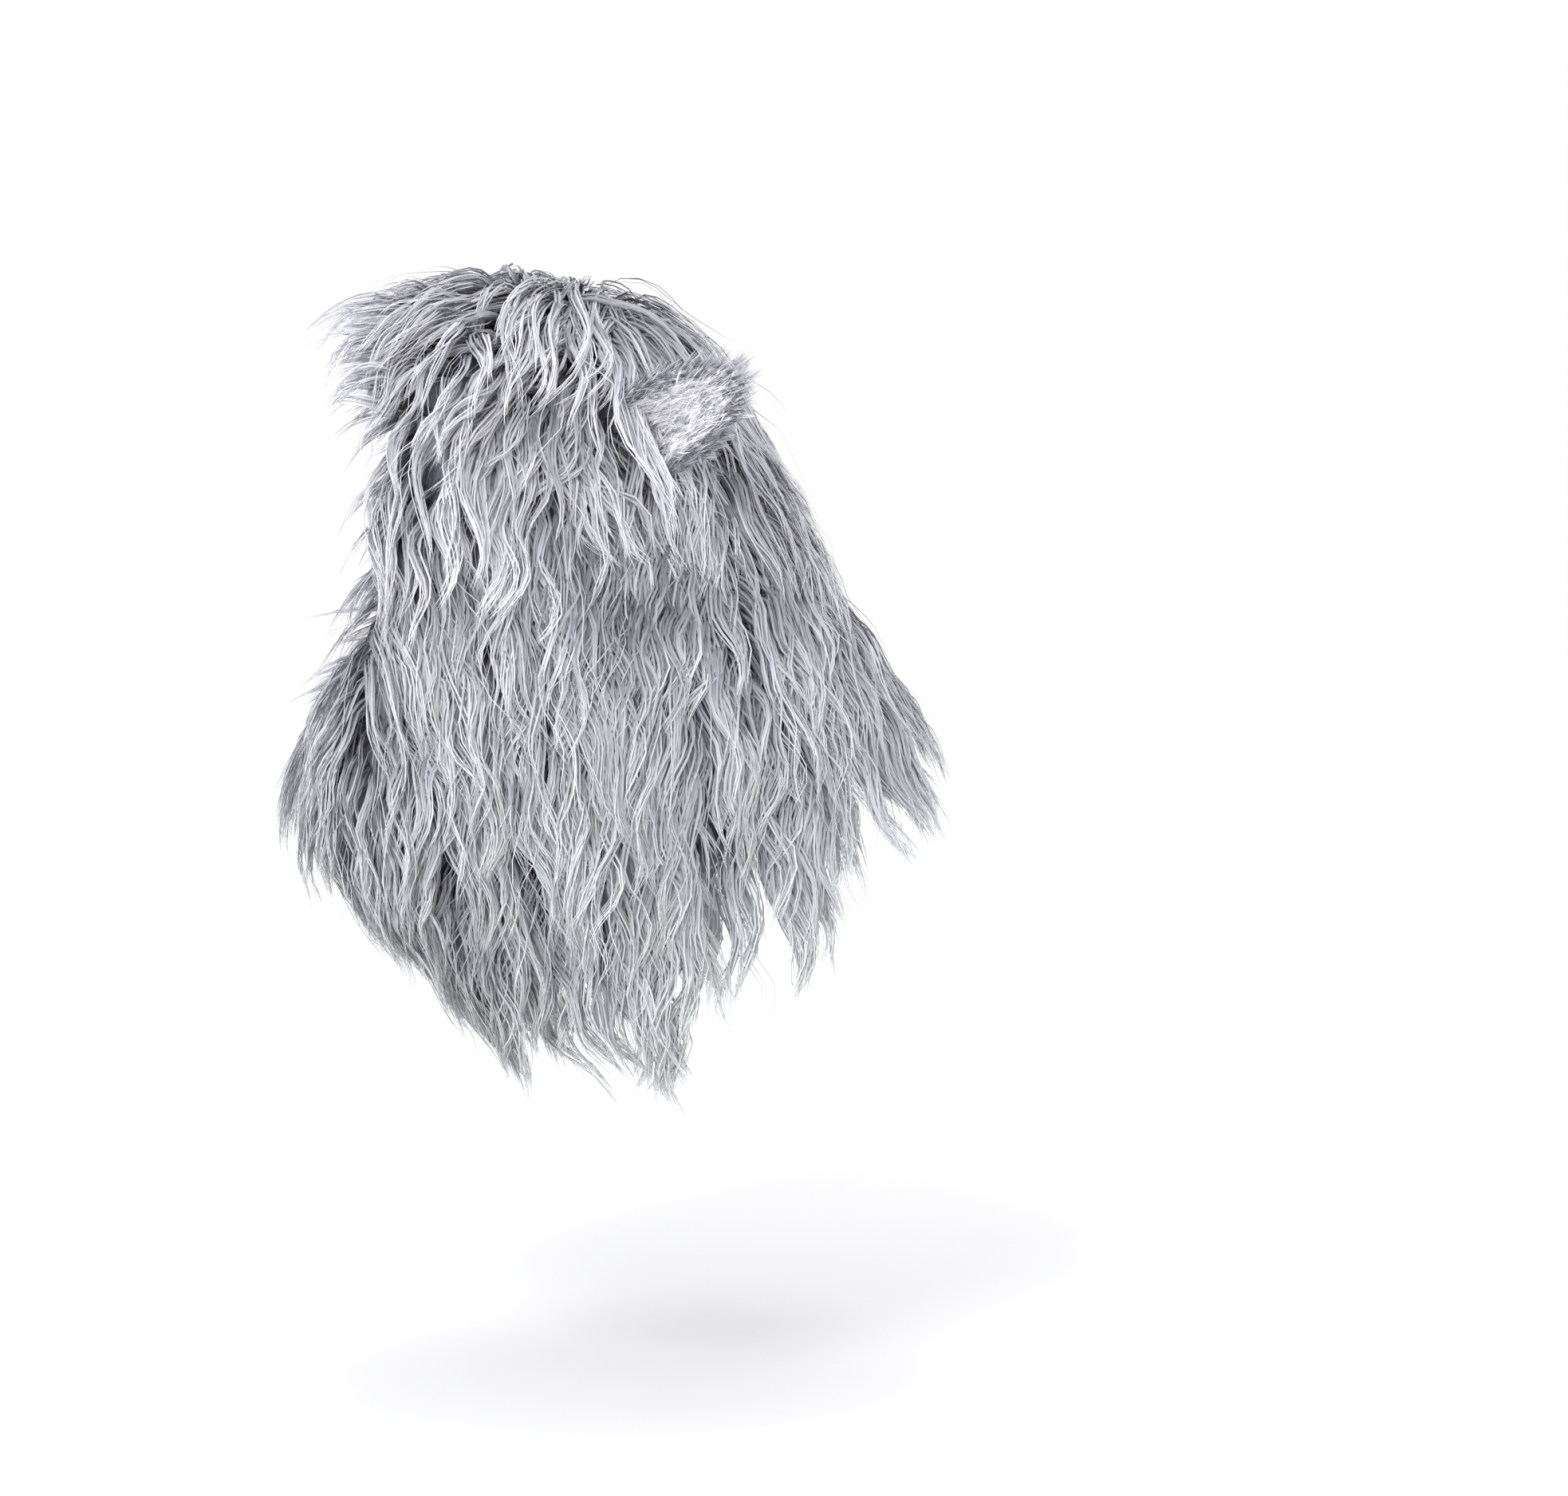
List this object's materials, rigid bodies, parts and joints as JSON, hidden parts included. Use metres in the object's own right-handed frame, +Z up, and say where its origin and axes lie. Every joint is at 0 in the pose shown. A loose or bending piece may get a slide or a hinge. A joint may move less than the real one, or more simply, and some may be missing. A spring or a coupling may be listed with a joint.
{
  "type": "pet lion mane wig",
  "caption": "Hooded lion mane wig for a large dog: silver-grey long fur locks on a hollow cloth hood open at face and neck, with round plush ears.",
  "frame": {"origin": "inside of the hood's crown, where it sits on the top of the head", "axes": "+Z up from the crown, -Y out of the face opening, +X towards the wearer's left ear"},
  "size_m": [0.3029, 0.3905, 0.4803],
  "materials": {
    "backing_cloth": "matte knit",
    "silver_fur": "long pile faux fur",
    "ear_plush": "short pile plush",
    "ear_lining": "smooth short pile"
  },
  "bodies": {
    "root": {"hood_backing": "backing_cloth", "mane_fur": "silver_fur", "ear_left": "ear_plush", "ear_right": "ear_plush", "ear_lining_left": "ear_lining", "ear_lining_right": "ear_lining"}
  },
  "joints": []
}
